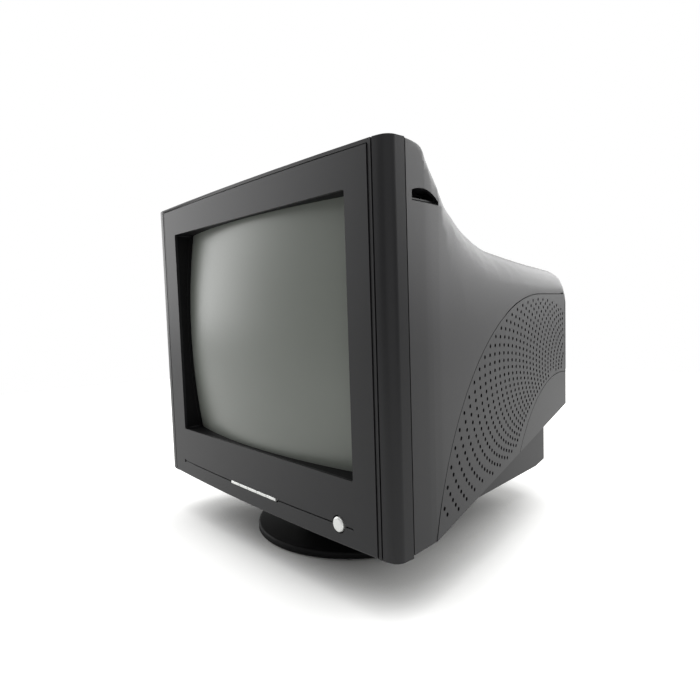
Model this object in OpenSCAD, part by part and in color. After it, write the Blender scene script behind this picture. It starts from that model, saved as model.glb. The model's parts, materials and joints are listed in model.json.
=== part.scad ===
// CRT computer monitor with a perforated side grille, on a round tilt-and-swivel stand.
// Millimetres. Origin at the centre of the stand on the table, front towards -Y, +Z up.
// Inside the cabinet modules, y is the depth behind the face panel.

/* [Cabinet] */
// Width over the two corner columns
cab_w = 426; // [390:1:460]
// Height over the table, at the middle of the front
cab_h = 398; // [365:1:430]
// Depth from the face panel to the rear wall
cab_d = 428; // [395:1:460]
// Underside of the front above the table, at the middle
under_z = 51; // [49:0.5:54]
// Distance from the swivel axis to the face panel
front_y = 144; // [140:1:150]
// Moulded wall
wall = 2.6; // [2.2:0.1:3]
// Rise of the top edge towards its middle
top_bow = 2; // [1:0.5:3]
// Drop of the bottom edge towards its middle
bottom_bow = 4.5; // [2:0.5:6]

/* [Front] */
// Width of the corner column beside the face panel, with its band
column_w = 21.7; // [20:0.1:24]
// How far the face panel stands proud of the frame
panel_proud = 0.8; // [0.4:0.2:2]
// Thickness of the face panel
panel_t = 3.4; // [3:0.1:4]
// Width of the groove round the face panel
groove_w = 0.9; // [0.6:0.1:1.4]
// Height of the band above the face panel
band_h = 3.3; // [2.5:0.1:5]
// Border beside the screen window, up to the side of the cabinet
border_side = 50; // [46:1:54]
// Border above the screen window
border_top = 36.5; // [34:0.5:40]
// Border below the screen window
border_low = 63.5; // [58:0.5:68]
// Corner radius of the screen window
open_r = 2; // [1:0.5:6]
// Radius of the front of the corner columns, seen from above
column_bow = 40; // [30:1:60]
// Radius of the outer edge of the corner columns, seen from above
column_r = 9; // [6:0.5:11]
// Depth of the seam between front frame and rear cover
seam_y = 21; // [20:0.5:24]

/* [Controls] */
// Height of the row of keys above the lower edge
control_up = 18.6; // [16:0.2:22]
// Distance of the power button from the side of the cabinet
power_in = 71; // [66:1:78]
// Diameter of the power button
power_d = 14; // [12:0.5:16]
// Travel of the power button
power_travel = 2; // [1:0.5:2.5]
// Sideways place of the first key
key_x = -38.5; // [-45:0.5:-30]
// Spacing of the keys
key_pitch = 18; // [17:0.2:20]
// Height of a key
key_h = 3; // [2.4:0.2:4]
// Travel of a key
key_travel = 0.8; // [0.5:0.1:1]

/* [Rear cover] */
// Inward lean of each side wall, in degrees
side_a = 11.8; // [11:0.1:12.5]
// Taper of the side walls just behind the seam, in degrees
flank_a = 7; // [5:0.5:9]
// Depth behind the face panel where the side walls bend
flank_y = 59; // [54:1:64]
// Depth of the level shelf behind the front
shelf_y = 44.2; // [42:0.2:47]
// Radius where the shelf turns down
break_r = 8; // [6:0.5:10]
// Steepest fall of the roof, in degrees
slope_a = 46.5; // [44:0.5:50]
// Radius of the hollow sweep of the roof
sweep_r = 215; // [200:5:230]
// Fall of the roof line from the front to the rear wall
deck_drop = 90.5; // [86:0.5:95]
// Fall of the deck, in degrees
deck_a = 3.4; // [2.8:0.2:4]
// Radius of the rear top corner
rear_r = 20; // [16:1:26]
// Radius between side walls and roof
crest_r = 36; // [30:1:40]
// Rise of the roof towards its middle
crown = 8; // [6:0.5:10]
// Depth where the lower edge starts to rise
kick_y = 57; // [52:1:62]
// Height of the lower edge above the table, up to there
wing_z = 57.5; // [56:0.5:60]
// Rise of the lower edge, in degrees
kick_a = 9.7; // [8.8:0.1:10.5]

/* [Side grille] */
// Radius of the outer arc of the grille
grille_r = 280; // [270:1:290]
// Drop of the top of the grille below the roof line at the rear wall
grille_drop = 32.5; // [28:0.5:40]
// Diameter of a grille hole
hole_d = 4; // [3:0.2:4.4]
// Spacing of the holes along the outer arc
hole_pitch = 17; // [15:0.5:20]

/* [Lower housing] */
// Underside of the lower housing above the table
box_z = 46; // [45:0.5:50]
// Distance from its rear wall to the rear wall of the cabinet
box_step = 46; // [42:1:60]
// Distance of its side walls from those of the cabinet, at its rear wall
box_inset = 17; // [14:0.5:20]
// Inward lean of its side walls, in degrees
box_a = 7.3; // [6:0.1:9]

/* [Tube] */
// Radius of the curved glass
glass_r = 800; // [760:10:900]
// Reach of the glass past the edge of the screen window
glass_lap = 11; // [8:0.5:12]
// Length of the straight glass skirt, from the face panel
skirt_y = 60; // [56:1:62]
// Room between the end of the tube and the rear wall of the cabinet
tube_room = 56; // [52:1:64]
// Length of the neck
neck_l = 132; // [125:1:138]
// Diameter of the neck
neck_d = 29.1; // [28:0.1:30]

/* [Stand] */
// Diameter of the round foot
base_d = 239; // [225:1:245]
// Height of the foot at its rim
base_t = 8.6; // [8.2:0.2:10]
// Radius of the tilt ball
ball_r = 110; // [106:1:114]
// Lowest point of the tilt ball above the table
ball_z = 11; // [10.8:0.1:12]
// Largest tilt backwards, in degrees
tilt_back = 12; // [8:1:12]
// Largest tilt forwards, in degrees
tilt_front = 5; // [3:1:6]
// Swivel to each side, in degrees
swivel_a = 45; // [30:5:50]

/* [Fits] */
// Gap between parts that move past each other
gap = 0.3; // [0.2:0.05:0.4]
// Open seam between the front frame and the rear cover
seam = 2.4; // [0.8:0.2:3]
// Open seam round the side grilles
grille_seam = 0.5; // [0.4:0.1:0.8]

/* [Hidden] */
$fn = 64;

charcoal = "#3b3c3e";
black = "#161616";
silver = "#d9dad8";
steel = "#a8aaac";
circuit = "#4d5a2e";

// Front frame: band plane, flange behind the face panel, heights
bezel_y = panel_proud;
flange_y = panel_t;
flange_t = 2.6;
flange_back = flange_y + flange_t;
edge_top = cab_h - top_bow;
panel_w = cab_w - 2 * column_w;
panel_top = cab_h - band_h - groove_w;
band_w = 3.3;
valley_w = 1.6;
valley_t = 2.2;
valley_x = panel_w / 2 + groove_w + band_w + valley_w / 2;

// Plan of the corner columns: a wide front arc that runs into the arc of the outer edge
bow_c = [valley_x, bezel_y + column_bow];
edge_x = cab_w / 2 - column_r;
edge_c = [edge_x, bow_c[1] - sqrt(pow(column_bow - column_r, 2) - pow(edge_x - valley_x, 2))];
bow_a = asin((edge_x - valley_x) / (column_bow - column_r));

// Screen window, its surround and the glass
open_w = cab_w - 2 * border_side;
open_h = cab_h - border_top - under_z - border_low;
tube_z = under_z + border_low + open_h / 2;
glass_w = open_w + 2 * glass_lap;
glass_h = open_h + 2 * glass_lap;
mask_wall = 2;
lip_w = 3;
lip_t = 4;
glass_apex = -2;
face_t = 11;
skirt_t = 8;
glass_corner_r = 30;

// Tube mounting ears, their posts, and the posts of the rear cover
band_t = 1.2;
ear_x = glass_w / 2 + 9;
ear_z = glass_h / 2 + 10;
ear_y = 36;
post_r = 6.5;
pilot_r = 1.9;
cover_post = [cab_w / 2 - 83, edge_top - 8];
cover_post_y = 30;
well_r = 4.2;
well_t = 1.4;
head_r = 3.6;

// Controls
control_z = under_z + control_up;
control_bow_r = 5600;
power_x = cab_w / 2 - power_in;
key_count = 5;
key_gap = 0.6;
key_proud = 0.9;
power_proud = 2;
power_ring = 1.3;
plate_y = flange_back + gap;
plate_t = 1.5;
stem_y = plate_y + plate_t + 1;
board_y = stem_y + power_travel + 3.4;
board_t = 1.6;
dot_x = 46 - cab_w / 2;
dot_r = 2;
line_w = 1.3;
line_t = 1.4;
line_past = 20;
key_bar_x0 = key_x - key_pitch / 2;
key_bar_x1 = key_x + (key_count - 0.5) * key_pitch;
board_x0 = key_bar_x0 - 57.5;
board_x1 = power_x + 38;
board_posts = [board_x0 + 10, key_bar_x1 + 37.5, board_x1 - 10];

// Roof line at the rear wall
deck_z = edge_top - deck_drop;

// Roof line of the rear cover, offset inwards by t: shelf, break, hollow sweep, deck, rear corner
slope_start = [shelf_y + break_r * sin(slope_a), edge_top - break_r * (1 - cos(slope_a))];
corner_y = (slope_start[1] + tan(slope_a) * slope_start[0] - deck_z - tan(deck_a) * cab_d)
    / (tan(slope_a) - tan(deck_a));
corner_z = deck_z + tan(deck_a) * (cab_d - corner_y);
sweep_t = sweep_r * tan((slope_a - deck_a) / 2);
sweep_c = [
    corner_y - sweep_t * cos(slope_a) + sweep_r * sin(slope_a),
    corner_z + sweep_t * sin(slope_a) + sweep_r * cos(slope_a)
];
rear_c = [cab_d - rear_r, deck_z + tan(deck_a) * rear_r - rear_r / cos(deck_a)];
break_n = 4;
sweep_n = 9;
rear_n = 5;
function roof(t) = concat(
    [[seam_y + seam, edge_top - t]],
    [for (i = [0:break_n]) let (a = slope_a * i / break_n)
        [shelf_y + (break_r - t) * sin(a), edge_top - break_r + (break_r - t) * cos(a)]],
    [for (i = [0:sweep_n]) let (a = slope_a + (deck_a - slope_a) * i / sweep_n)
        [sweep_c[0] - (sweep_r + t) * sin(a), sweep_c[1] - (sweep_r + t) * cos(a)]],
    [for (i = [0:rear_n]) let (a = deck_a + (90 - deck_a) * i / rear_n)
        [rear_c[0] + (rear_r - t) * sin(a), rear_c[1] + (rear_r - t) * cos(a)]]
);
// Half width of the cabinet, lower edge, crest radius and crown along the depth
side_x = cab_w / 2 - 1;
flank_run = 15;
flank_turn = tan(side_a) - tan(flank_a);
wall_x = side_x + (flank_y - seam_y) * flank_turn;
function half_w(y) = let (past = y - flank_y) side_x - (y - seam_y) * tan(flank_a)
    - flank_turn * (past > flank_run ? past : pow(max(0, past + flank_run), 2) / flank_run / 4);

// Tongue of the front frame that closes the seam from inside
tongue_t = 1.6;
tongue_y = seam_y + seam + 2.5;
tongue_in = cab_w / 2 - half_w(tongue_y) + wall + gap;
tongue_drop = wall + 2 * gap;
tongue_z = wing_z + 12;
function low_z(y) = wing_z + max(0, y - kick_y) * tan(kick_a);
function crest(y) = lookup(y, [
    [seam_y, 1], [shelf_y, 2.5], [shelf_y + 12, 6], [shelf_y + 70, crest_r], [cab_d, crest_r * 0.7]
]);
function rise(y) = lookup(y, [[shelf_y, top_bow], [shelf_y + 55, crown], [cab_d, crown / 2]]);

// Lower housing and the ledge that closes the wings from below
lip = 3;
box_front = kick_y;
box_d = cab_d - box_step;
box_chamfer = [26, 4];
function box_half(y) = half_w(box_d) - box_inset + (box_d - y) * tan(box_a);
function ledge_z(y) = low_z(y) + lip;

// Funnel of the tube: half sizes and squareness from the skirt to the neck
neck_r = neck_d / 2;
tube_l = cab_d - tube_room;
neck_y = tube_l - neck_l;
neck_t = 1.6;
neck_end = tube_l - 4;
funnel_t = 4;
function funnel_half(full, s) = neck_r + (full / 2 - neck_r) * (1 - pow(s, 1.2));
function squareness(s) = 2 + 6 * pow(1 - s, 2);

// Deflection yoke, as radii and depths on the tube axis
yoke_y0 = neck_y - 28;
yoke_y1 = neck_y + 20;
yoke_r0 = funnel_half(glass_w, (yoke_y0 - skirt_y) / (neck_y - skirt_y)) + 2;
yoke_r1 = neck_r + 0.3;
yoke_t = 2.5;
coil_t = 5;

// Main board and its height in the lower housing
mb_z = box_z + 22;
mb_t = 1.6;
mb_top = mb_z + mb_t;
mb_y0 = kick_y + 17;
mb_y1 = box_d - 22;
mb_half = box_half(mb_y1) - wall - 7;
mb_hole_x = mb_half - 11;
mb_holes = [for (s = [-1, 1], y = [mb_y0 + 12, mb_y1 - 12]) [s * mb_hole_x, y]];
flyback_at = [mb_half - 46, mb_y1 - 55];
flyback_h = 82;
inlet_x = -72;
video_x = 70;
plug_z = 80;
inlet = [27, 19.6];

// Stand
ball_c = ball_z + ball_r;
ball_t = 4;
ball_rim = sqrt(pow(ball_r, 2) - pow(ball_c - box_z, 2));
ball_boss = ball_rim - 12;
foot_gap = 1.2;
foot_r = 9;
foot_ring = base_d / 2 - 20;
foot_n = 5;
web = [3, 7];
hub_r = 20;
hub_run = 0.08;
key_r = 6.5;
seat_r = [46, 62];
collar_r = 65;
seat_z = ball_c - sqrt(pow(ball_r + gap, 2) - pow(seat_r[1], 2));
hub_top = ball_z - 0.5;
key_top = ball_c - (ball_r - ball_t - gap) + 0.3;
retainer_r = 22;
retainer_t = 6;
slot_mid = ball_r - ball_t / 2;
slot_front = key_r + slot_mid * sin(tilt_front) + 1;
slot_back = key_r + slot_mid * sin(tilt_back) + 1;
stop_w = 8;
stop_r = 30;

// Shifts cabinet coordinates, with depth counted from the face panel, to the stand's centre
module cab() {
    translate([0, -front_y, 0]) children();
}

// Extrudes a front view between two depths
module front_slab(y0, y1) {
    translate([0, y1, 0]) rotate([90, 0, 0]) linear_extrude(y1 - y0) children();
}

// Extrudes a side view, drawn as depth and height, across the width w
module side_slab(w) {
    translate([-w / 2, 0, 0]) rotate([90, 0, 90]) linear_extrude(w) children();
}

// A rod along the depth
module rod(x, z, y0, y1, r) {
    translate([x, y0, z]) rotate([-90, 0, 0]) cylinder(h = y1 - y0, r = r);
}

// Turns a shape about the tube axis: its radius along X, its depth along Y
module on_axis() {
    translate([0, 0, tube_z]) rotate([-90, 0, 0]) rotate_extrude() children();
}

module rounded(w, h, r) {
    square([w - 2 * r, h], center = true);
    square([w, h - 2 * r], center = true);
    for (sx = [-1, 1], sz = [-1, 1])
        translate([sx * (w / 2 - r), sz * (h / 2 - r)]) circle(r = r);
}

// Front view with bowed top and bottom edges, given at their middles
module bowed(w, bottom, top) {
    top_r = pow(cab_w / 2, 2) / 2 / top_bow;
    bottom_r = pow(cab_w / 2, 2) / 2 / bottom_bow;
    intersection() {
        translate([-w / 2, bottom - 1]) square([w, top - bottom + 2]);
        translate([0, top - top_r]) circle(r = top_r, $fn = 1440);
        translate([0, bottom + bottom_r]) circle(r = bottom_r, $fn = 1440);
    }
}

// Ball of the curved glass face, grown by g
module glass_ball(r, g) {
    translate([0, glass_apex + glass_r + g, tube_z]) sphere(r = r, $fn = 240);
}

// Plan of the front frame: rounded corner columns in front, open to the seam behind
module bezel_plan(inset) {
    bow_w = (column_bow - inset) * sin(bow_a);
    translate([inset - cab_w / 2, edge_c[1]]) square([cab_w - 2 * inset, seam_y - edge_c[1]]);
    translate([-valley_x, bezel_y + inset]) square([2 * valley_x, seam_y - bezel_y - inset]);
    for (s = [0, 1]) mirror([s, 0]) {
        translate(edge_c) circle(r = column_r - inset);
        intersection() {
            translate(bow_c) circle(r = column_bow - inset, $fn = 360);
            translate([valley_x, bezel_y]) square([bow_w, seam_y - bezel_y]);
        }
    }
}

module at_ears() {
    for (sx = [-1, 1], sz = [-1, 1]) translate([sx * ear_x, 0, tube_z + sz * ear_z]) children();
}

module seam_tongue() {
    for (part = [[seam_y - wall, seam_y, wall / 2, wall / 2], [seam_y - 1, tongue_y, tongue_in, tongue_drop]])
        front_slab(part[0], part[1]) difference() {
            bowed(cab_w - 2 * part[2], under_z, cab_h - part[3]);
            bowed(cab_w - 2 * (tongue_in + tongue_t), under_z - 5, cab_h - tongue_drop - tongue_t);
            translate([-cab_w, 0]) square([2 * cab_w, tongue_z]);
        }
}

module front_bezel() {
    color(charcoal) cab() difference() {
        union() {
            difference() {
                intersection() {
                    linear_extrude(cab_h + 10) bezel_plan(0);
                    front_slab(0, seam_y) bowed(cab_w + 2, under_z, cab_h);
                }
                intersection() {
                    linear_extrude(cab_h + 10) bezel_plan(wall);
                    front_slab(flange_back, seam_y + 1) bowed(cab_w, under_z + wall, cab_h - wall);
                }
            }
            seam_tongue();
            at_ears() rod(0, 0, flange_back, ear_y, post_r);
            for (s = [-1, 1]) rod(s * cover_post[0], cover_post[1], flange_back, cover_post_y, 5);
            for (x = board_posts) rod(x, control_z + 6, flange_back, board_y, 3);
        }
        front_slab(-1, flange_y) bowed(panel_w + 2 * groove_w, under_z - 5, panel_top + groove_w);
        for (s = [-1, 1])
            translate([s * valley_x - valley_w / 2, -1, 0])
                cube([valley_w, 1 + bezel_y + valley_t, cab_h + 10]);
        translate([0, 0, tube_z])
            front_slab(0, flange_back + 1) rounded(open_w + 2 * mask_wall + 2 * gap,
                open_h + 2 * mask_wall + 2 * gap, open_r + mask_wall);
        key_slot(flange_back + 1, 2);
        rod(power_x, control_z + power_drop(), 0, flange_back + 1, power_d / 2 + gap);
        at_ears() rod(0, 0, ear_y - 20, ear_y + 1, pilot_r);
        for (s = [-1, 1]) rod(s * cover_post[0], cover_post[1], cover_post_y - 14, cover_post_y + 1, pilot_r);
    }
}

// Height of the bowed control line above its middle
function line_rise(x) = pow(x, 2) / 2 / control_bow_r;
function power_drop() = line_rise(power_x);

// Slot for the row of keys, longer at its right end by the width of the open notch
module key_slot(depth, grow) {
    notch = 3;
    translate([key_bar_x0 - gap, -1, control_z - key_h / 2 - gap - grow / 2])
        cube([key_bar_x1 - key_bar_x0 + 2 * gap + notch, depth + 1, key_h + 2 * gap + grow]);
}

module face_panel() {
    color(charcoal) cab() difference() {
        front_slab(0, panel_t) bowed(panel_w, under_z, panel_top);
        translate([0, 0, tube_z]) front_slab(-1, panel_t + 1) rounded(open_w, open_h, open_r);
        key_slot(panel_t + 1, 0.4);
        rod(power_x, control_z + power_drop(), -1, panel_t + 1, power_d / 2 + power_ring);
        rod(dot_x, control_z + line_rise(dot_x), -1, dot_r, dot_r);
        front_slab(-1, line_t) intersection() {
            translate([dot_x, control_z - 5]) square([power_x + line_past - dot_x, 20]);
            translate([0, control_z + control_bow_r]) difference() {
                circle(r = control_bow_r + line_w / 2, $fn = 1440);
                circle(r = control_bow_r - line_w / 2, $fn = 1440);
            }
        }
    }
}

// Black surround: straight walls behind the window, and a lip that follows the glass
module screen_mask() {
    wall_r = open_r + mask_wall;
    color(black) cab() difference() {
        union() {
            translate([0, 0, tube_z]) front_slab(flange_y, 40) difference() {
                rounded(open_w + 2 * mask_wall, open_h + 2 * mask_wall, wall_r);
                rounded(open_w, open_h, open_r);
            }
            intersection() {
                translate([0, 0, tube_z]) front_slab(flange_y, 40) difference() {
                    rounded(open_w + mask_wall, open_h + mask_wall, wall_r);
                    rounded(open_w - 2 * lip_w, open_h, open_r);
                }
                glass_ball(glass_r, -lip_t);
            }
        }
        glass_ball(glass_r, -gap);
    }
}

// Cross-section of the rear cover at station i, from the left lower edge over the roof to the right one
arc_n = 5;
crown_n = 3;
function section(i, t) = let (
        p = roof(t)[i],
        y = p[0],
        w = half_w(y) - t,
        r = max(crest(y) - t, 1),
        flat = w - r,
        up = rise(y)
    ) concat(
        [[w, y, low_z(y)]],
        [for (k = [0:arc_n]) let (a = 90 * k / arc_n)
            [flat + r * cos(a), y, p[1] - r + r * sin(a)]],
        [for (k = [1:crown_n]) let (x = flat * (1 - k / (crown_n + 1)))
            [x, y, p[1] + up * (1 - pow(x / flat, 2))]],
        [[0, y, p[1] + up]]
    );
function mirrored(half) = concat(half, [for (k = [len(half) - 2:-1:0]) [-half[k][0], half[k][1], half[k][2]]]);

// Rear cover as one closed skin: outer rings, inner rings, rims and rear wall
module cover_shell() {
    n = len(roof(0));
    outer = [for (i = [0:n - 1]) mirrored(section(i, 0))];
    inner = [for (i = [0:n - 1]) mirrored(section(i, wall))];
    m = len(outer[0]);
    points = concat([for (r = outer) each r], [for (r = inner) each r]);
    o = function (i, k) i * m + k;
    q = function (i, k) (n + i) * m + k;
    skin = [for (i = [0:n - 2], k = [0:m - 2]) each [
        [o(i, k), o(i, k + 1), o(i + 1, k + 1)], [o(i, k), o(i + 1, k + 1), o(i + 1, k)],
        [q(i, k), q(i + 1, k + 1), q(i, k + 1)], [q(i, k), q(i + 1, k), q(i + 1, k + 1)]
    ]];
    front = [for (k = [0:m - 2]) each [
        [o(0, k), q(0, k + 1), o(0, k + 1)], [o(0, k), q(0, k), q(0, k + 1)]
    ]];
    edges = [for (i = [0:n - 2]) each [
        [o(i, 0), o(i + 1, 0), q(i + 1, 0)], [o(i, 0), q(i + 1, 0), q(i, 0)],
        [o(i, m - 1), q(i + 1, m - 1), o(i + 1, m - 1)], [o(i, m - 1), q(i, m - 1), q(i + 1, m - 1)]
    ]];
    rear = [for (k = [1:m - 2]) each [
        [o(n - 1, 0), o(n - 1, k), o(n - 1, k + 1)], [q(n - 1, 0), q(n - 1, k + 1), q(n - 1, k)]
    ]];
    sill = [
        [o(n - 1, 0), o(n - 1, m - 1), q(n - 1, m - 1)], [o(n - 1, 0), q(n - 1, m - 1), q(n - 1, 0)]
    ];
    polyhedron(points = points, faces = concat(skin, front, edges, rear, sill));
}

// Side wall as a drawing plane: X along the wall from the seam, Y up; depth counts outwards
module on_plane(side, x, a, depth0, depth1) {
    mirror([side < 0 ? 1 : 0, 0, 0])
        translate([x, seam_y, 0]) rotate([0, 0, a]) rotate([90, 0, 90])
            translate([0, 0, depth0]) linear_extrude(depth1 - depth0) children();
}

module on_side(side, depth0, depth1) {
    on_plane(side, wall_x, side_a, depth0, depth1) children();
}

module on_flank(side, depth0, depth1) {
    on_plane(side, side_x, flank_a, depth0, depth1) children();
}

// Grille field on the side wall, grown by g: under the outer arc, over the inner one, before the rear edge.
// Its foot lies below the lower edge of the wall by drop
stretch = 1 / cos(side_a);
strip = 4;
wall_l = (cab_d - seam_y) * stretch;
wall_kick = (kick_y - seam_y) * stretch;
wall_a = atan((low_z(cab_d) - wing_z) / (wall_l - wall_kick));
grille_top = deck_z - grille_drop;
outer_z = grille_top - grille_r;
outer_c = [wall_kick + sqrt(pow(grille_r, 2) - pow(wing_z - outer_z, 2)), outer_z];
inner_r = 183;
inner_c = [wall_l - 29, wing_z - 72.5];
function edge_z(u) = wing_z + max(0, u - wall_kick) * tan(wall_a);
module grille_field(g, drop) {
    rear = wall_l - strip + g;
    difference() {
        intersection() {
            union() {
                translate(outer_c) circle(r = grille_r + g, $fn = 180);
                translate([outer_c[0], 0]) square([wall_l, grille_top + g]);
            }
            polygon([
                [wall_kick - 20, wing_z - drop], [wall_kick, wing_z - drop], [rear, edge_z(rear) - drop],
                [rear, cab_h], [wall_kick - 20, cab_h]
            ]);
        }
        translate(inner_c) circle(r = inner_r - g, $fn = 180);
    }
}

// Holes on rows of arcs: row by row the arc slides rearwards and down, shrinks, turns and packs its holes
// closer, so that the holes also line up in curved columns. Only whole holes inside the field are kept
hole_inset = 6.7;
hole_margin = 5.5;
hole_foot = 8.5;
hole_rows = 19;
hole_cols = [-13, 23];
row_shift = [80, -49];
row_shrink = 38.5;
row_turn = [34.3, -21.3];
row_pack = 0.48;
hole_fan = 0.001;
hole_a = 120.3;
hole_step = hole_pitch / (grille_r - hole_inset) * 180 / PI;
function hole_at(i, j) = let (
        s = i / (hole_rows - 1),
        turn = s * row_turn[0] + s * s * row_turn[1],
        a = hole_a + turn - (1 - s * row_pack) * hole_step * j - hole_fan * pow(j, 3)
    ) outer_c + s * row_shift + (grille_r - hole_inset - s * row_shrink) * [cos(a), sin(a)];
function hole_fits(p) = norm(p - inner_c) > inner_r + hole_margin && p[0] > wall_kick
    && p[0] < wall_l - strip - hole_margin && p[1] > edge_z(p[0]) + hole_foot
    && (p[0] < outer_c[0] ? norm(p - outer_c) < grille_r - hole_margin : p[1] < grille_top - hole_margin);
module grille_holes() {
    for (i = [0:hole_rows], j = [hole_cols[0]:hole_cols[1]])
        if (hole_fits(hole_at(i, j))) translate(hole_at(i, j)) circle(d = hole_d, $fn = 24);
}

module side_grille(side) {
    color("#4a4b4c") cab() on_side(side, -wall, 0) difference() {
        grille_field(-gap, 0);
        grille_holes();
    }
}

module side_grille_left() {
    side_grille(-1);
}

module side_grille_right() {
    side_grille(1);
}

// Hand grip: a leaf-shaped mouth near the seam, over a shallow step and a deeper finger pocket
grip_u = 9.8;
grip_l = 40;
grip_h = 11.3;
grip_z = edge_top - 36.4 - grip_h;
grip_r = 41;
grip_lead = 15.2;
grip_sill = 3.6;
grip_step = 5;
grip_deep = 17;
grip_t = 2;
module grip_mouth() {
    intersection() {
        translate([grip_u, grip_z]) square([grip_l, grip_h]);
        translate([grip_u + grip_lead, grip_z + grip_h - grip_r]) circle(r = grip_r, $fn = 180);
    }
}

// Finger room above the step, and the block that encloses it
module grip_room(g) {
    low = g > 0 ? -g : grip_sill;
    translate([grip_u - g, grip_z + low]) square([grip_l - 2 + 2 * g, grip_h + g - low]);
}

module rear_cover() {
    color(charcoal) cab() difference() {
        union() {
            cover_shell();
            for (s = [-1, 1]) {
                screw_well(s);
                grip_pocket(s);
            }
            at_low_screws() translate([0, 0, low_screw_z + wall]) cylinder(h = low_boss_h, r = 6);
        }
        at_low_screws() translate([0, 0, low_screw_z]) cylinder(h = low_boss_h, r = pilot_r);
        for (s = [-1, 1]) {
            on_side(s, -wall - 1, 1) grille_field(grille_seam, lip);
            grip_cut(s);
            rod(s * cover_post[0], cover_post[1], cover_post_y - 1, cover_post_y + 5, 2.2);
            rod(s * cover_post[0], cover_post[1], cover_post_y + wall, shelf_y + 40, well_r);
        }
        deck_vents();
    }
}

// Tube that leads a driver through the sloping roof to a cover screw
module screw_well(s) {
    difference() {
        rod(s * cover_post[0], cover_post[1], cover_post_y, shelf_y + 24, well_r + well_t);
        translate([s * cover_post[0] - 20, slope_start[0], slope_start[1]])
            rotate([-slope_a, 0, 0]) translate([0, -40, 0.6]) cube([40, 90, 40]);
    }
}

module grip_pocket(s) {
    on_flank(s, -grip_deep - grip_t, -1) grip_room(grip_t);
}

module grip_cut(s) {
    on_flank(s, -grip_deep, -grip_step + 0.1) grip_room(0);
    on_flank(s, -grip_step, 2) grip_mouth();
}

// Long slots over the warm parts of the deck
vent_n = 14;
vent_pitch = 9;
vent_y = [cab_d - 193, cab_d - 128];
module deck_vents() {
    for (i = [0:vent_n - 1], row = [0, 1])
        translate([(i - (vent_n - 1) / 2) * vent_pitch - 2, vent_y[row], deck_z - 40])
            cube([4, 50, 100]);
}

// Plan of the cabinet inside the wings
module wing_plan(y0, y1, inset) {
    steps = [y0, flank_y - flank_run, flank_y, flank_y + flank_run, y1];
    polygon(concat(
        [for (y = steps) [half_w(y) - inset, y]],
        [for (i = [len(steps) - 1:-1:0]) [inset - half_w(steps[i]), steps[i]]]
    ));
}

module box_plan(inset) {
    polygon([
        [-box_half(box_front) + inset, box_front + inset], [box_half(box_front) - inset, box_front + inset],
        [box_half(box_d) - inset, box_d - inset], [-box_half(box_d) + inset, box_d - inset]
    ]);
}

module box_side(inset, top) {
    polygon([
        [box_front, box_z + inset], [box_d - box_chamfer[0], box_z + inset],
        [box_d, box_z + box_chamfer[1] + inset],
        [box_d, ledge_z(box_d) + top], [box_front, ledge_z(box_front) + top]
    ]);
}

module bottom_cover() {
    y0 = seam_y + seam;
    y1 = cab_d - wall - gap;
    color("#2f3032") cab() difference() {
        union() {
            difference() {
                ledge(y0, y1);
                box_room(30);
            }
            difference() {
                intersection() {
                    linear_extrude(cab_h) box_plan(0);
                    side_slab(cab_w) box_side(0, wall / 2);
                }
                box_room(2 * wall);
            }
            for (h = mb_holes) translate([h[0], h[1], box_z + wall / 2])
                cylinder(h = mb_z - box_z - wall / 2, r = 4);
        }
        for (h = mb_holes) translate([h[0], h[1], mb_z - 12]) cylinder(h = 13, r = 1.3);
        at_ball_screws() translate([0, 0, box_z - 1]) cylinder(h = wall + 2, r = 2.2);
        at_low_screws() translate([0, 0, low_screw_z - 1]) cylinder(h = wall + 2, r = 2.2);
        translate([inlet_x, 0, plug_z])
            front_slab(box_d - 10, box_d + 1) square([inlet[0] + 2 * gap, inlet[1] + 2 * gap], center = true);
        translate([video_x, 0, plug_z]) front_slab(box_d - 10, box_d + 1) video_d(gap);
        for (s = [-1, 1]) rod(video_x + s * jack_pitch / 2, plug_z, box_d - 10, box_d + 1, 1.9);
    }
}

// Room inside the lower housing, open above
module box_room(top) {
    intersection() {
        linear_extrude(cab_h) box_plan(wall);
        side_slab(cab_w) box_side(wall, top);
    }
}

// Floor of the wings: level under the front, then rising, with a sill that meets the front frame
module ledge(y0, y1) {
    intersection() {
        linear_extrude(cab_h) wing_plan(y0, y1, wall * stretch + gap);
        union() {
            side_slab(cab_w) polygon([
                [y0, ledge_z(y0)], [kick_y, ledge_z(kick_y)], [y1, ledge_z(y1)],
                [y1, ledge_z(y1) + wall], [kick_y, ledge_z(kick_y) + wall], [y0, ledge_z(y0) + wall]
            ]);
            front_slab(y0, y0 + wall) intersection() {
                bowed(cab_w, under_z, cab_h);
                translate([-cab_w / 2, 0]) square([cab_w, ledge_z(y0) + wall / 2]);
            }
        }
    }
}

// Two screws from below that hold the floor of the wings to bosses on the rear cover
low_screw = [half_w(shelf_y) - wall * stretch - 5, shelf_y];
low_screw_z = ledge_z(shelf_y);
low_boss_h = 16;
module at_low_screws() {
    for (s = [-1, 1]) translate([s * low_screw[0], low_screw[1], 0]) children();
}

// Four screws that hold the ball to the lower housing, seen in cabinet coordinates
module at_ball_screws() {
    for (a = [45:90:315])
        translate([ball_boss * cos(a), front_y + ball_boss * sin(a), 0]) children();
}

module ball_screws() {
    color(steel) cab() at_ball_screws() {
        translate([0, 0, box_z + wall]) cylinder(h = 2.4, r = 3.8);
        translate([0, 0, box_z - 8]) cylinder(h = 8 + wall, r = 1.8);
    }
}

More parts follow.
